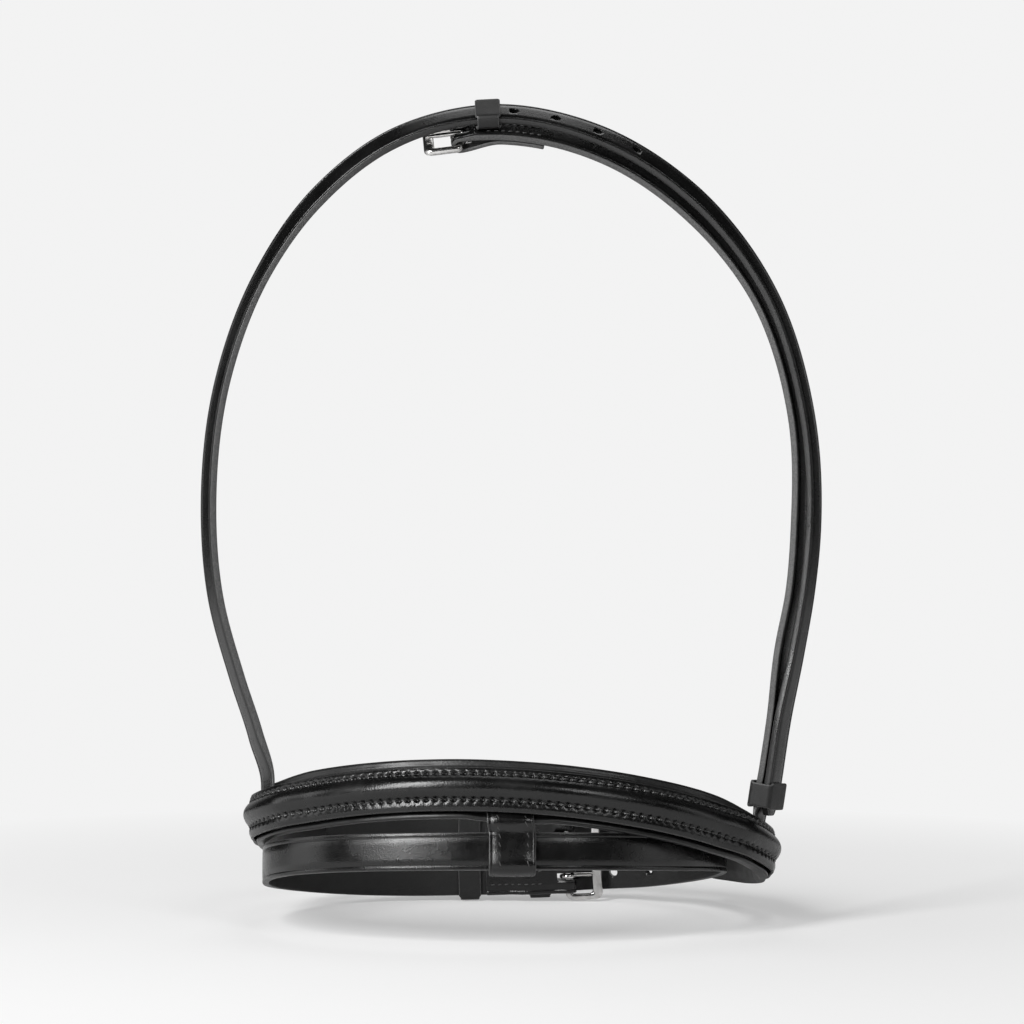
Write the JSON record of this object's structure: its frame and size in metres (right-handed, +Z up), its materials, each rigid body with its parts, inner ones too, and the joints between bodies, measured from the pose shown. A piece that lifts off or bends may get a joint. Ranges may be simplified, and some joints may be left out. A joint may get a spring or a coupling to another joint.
{
  "type": "bridle noseband",
  "caption": "Padded leather bridle noseband with headpiece, flash strap in a loop, chin strap, buckles and keepers.",
  "frame": {"origin": "where the headpiece rests on the poll: the underside of the straps at the top of the loop", "axes": "+Z up, +X to the right seen from the front of the nosepiece, +Y from the front of the nosepiece toward the chin"},
  "size_m": [0.2775, 0.1843, 0.3703],
  "materials": {
    "black_leather": "smooth dyed grain with a soft sheen",
    "padding_leather": "soft dyed grain",
    "foam": "closed inside the lining",
    "bright_steel": "polished"
  },
  "bodies": {
    "noseband": {"nosepiece_lining": "padding_leather", "nosepiece_foam_pad": "foam", "nosepiece_raised_core": "black_leather", "nosepiece_outer_band": "black_leather", "chin_buckle_strap": "black_leather", "chin_billet_strap": "black_leather", "chin_fixed_keeper": "black_leather", "headpiece_buckle_strap": "black_leather", "headpiece_long_strap": "black_leather", "headpiece_fixed_keeper": "black_leather"},
    "flash": {"flash_strap": "black_leather", "flash_loop": "black_leather", "flash_fixed_keeper": "black_leather"},
    "chin_buckle": {"chin_buckle_frame": "bright_steel"},
    "chin_tongue": {"chin_buckle_tongue": "bright_steel"},
    "chin_runner": {"chin_running_keeper": "black_leather"},
    "flash_buckle": {"flash_buckle_frame": "bright_steel"},
    "flash_tongue": {"flash_buckle_tongue": "bright_steel"},
    "flash_runner": {"flash_running_keeper": "black_leather"},
    "headpiece_buckle": {"headpiece_buckle_frame": "bright_steel"},
    "headpiece_tongue": {"headpiece_buckle_tongue": "bright_steel"},
    "headpiece_runner": {"headpiece_running_keeper": "black_leather"}
  },
  "joints": [
    {"name": "flash_swing", "type": "hinge", "parent": "noseband", "child": "flash", "pos_m": [-0.00062, -0.05647, -0.29379], "axis": [-1, 0, 0], "range_deg": [0, 12]},
    {"name": "chin_buckle_swing", "type": "hinge", "parent": "noseband", "child": "chin_buckle", "pos_m": [0.02623, 0.11108, -0.32173], "axis": [-0.0978, 0.0001, -0.9952], "range_deg": [0, 25]},
    {"name": "chin_tongue_swing", "type": "hinge", "parent": "chin_buckle", "child": "chin_tongue", "pos_m": [0.02623, 0.11108, -0.32173], "axis": [0.0978, -0.0001, 0.9952], "range_deg": [0, 8]},
    {"name": "flash_buckle_swing", "type": "hinge", "parent": "flash", "child": "flash_buckle", "pos_m": [0.02673, 0.09167, -0.33942], "axis": [0.044, -0.0003, -0.999], "range_deg": [0, 50]},
    {"name": "flash_tongue_swing", "type": "hinge", "parent": "flash_buckle", "child": "flash_tongue", "pos_m": [0.02673, 0.09167, -0.33942], "axis": [-0.044, 0.0003, 0.999], "range_deg": [0, 8]},
    {"name": "headpiece_buckle_swing", "type": "hinge", "parent": "noseband", "child": "headpiece_buckle", "pos_m": [-0.02356, 0.0012, 0.00064], "axis": [0.0791, -0.7881, -0.6104], "range_deg": [0, 50]},
    {"name": "headpiece_tongue_swing", "type": "hinge", "parent": "headpiece_buckle", "child": "headpiece_tongue", "pos_m": [-0.02356, 0.0012, 0.00064], "axis": [-0.0791, 0.7881, 0.6104], "range_deg": [0, 5]},
    {"name": "chin_keeper_slide", "type": "slide", "parent": "noseband", "child": "chin_runner", "axis": [-0.9998, 0.0046, 0.0212], "range_m": [-0.001, 0.012]},
    {"name": "flash_keeper_slide", "type": "slide", "parent": "flash", "child": "flash_runner", "axis": [-0.9997, 0.0042, -0.0231], "range_m": [-0.001, 0.012]},
    {"name": "headpiece_keeper_slide", "type": "slide", "parent": "noseband", "child": "headpiece_runner", "axis": [0.1483, 0, 0.9889], "range_m": [0, 0.015]}
  ]
}
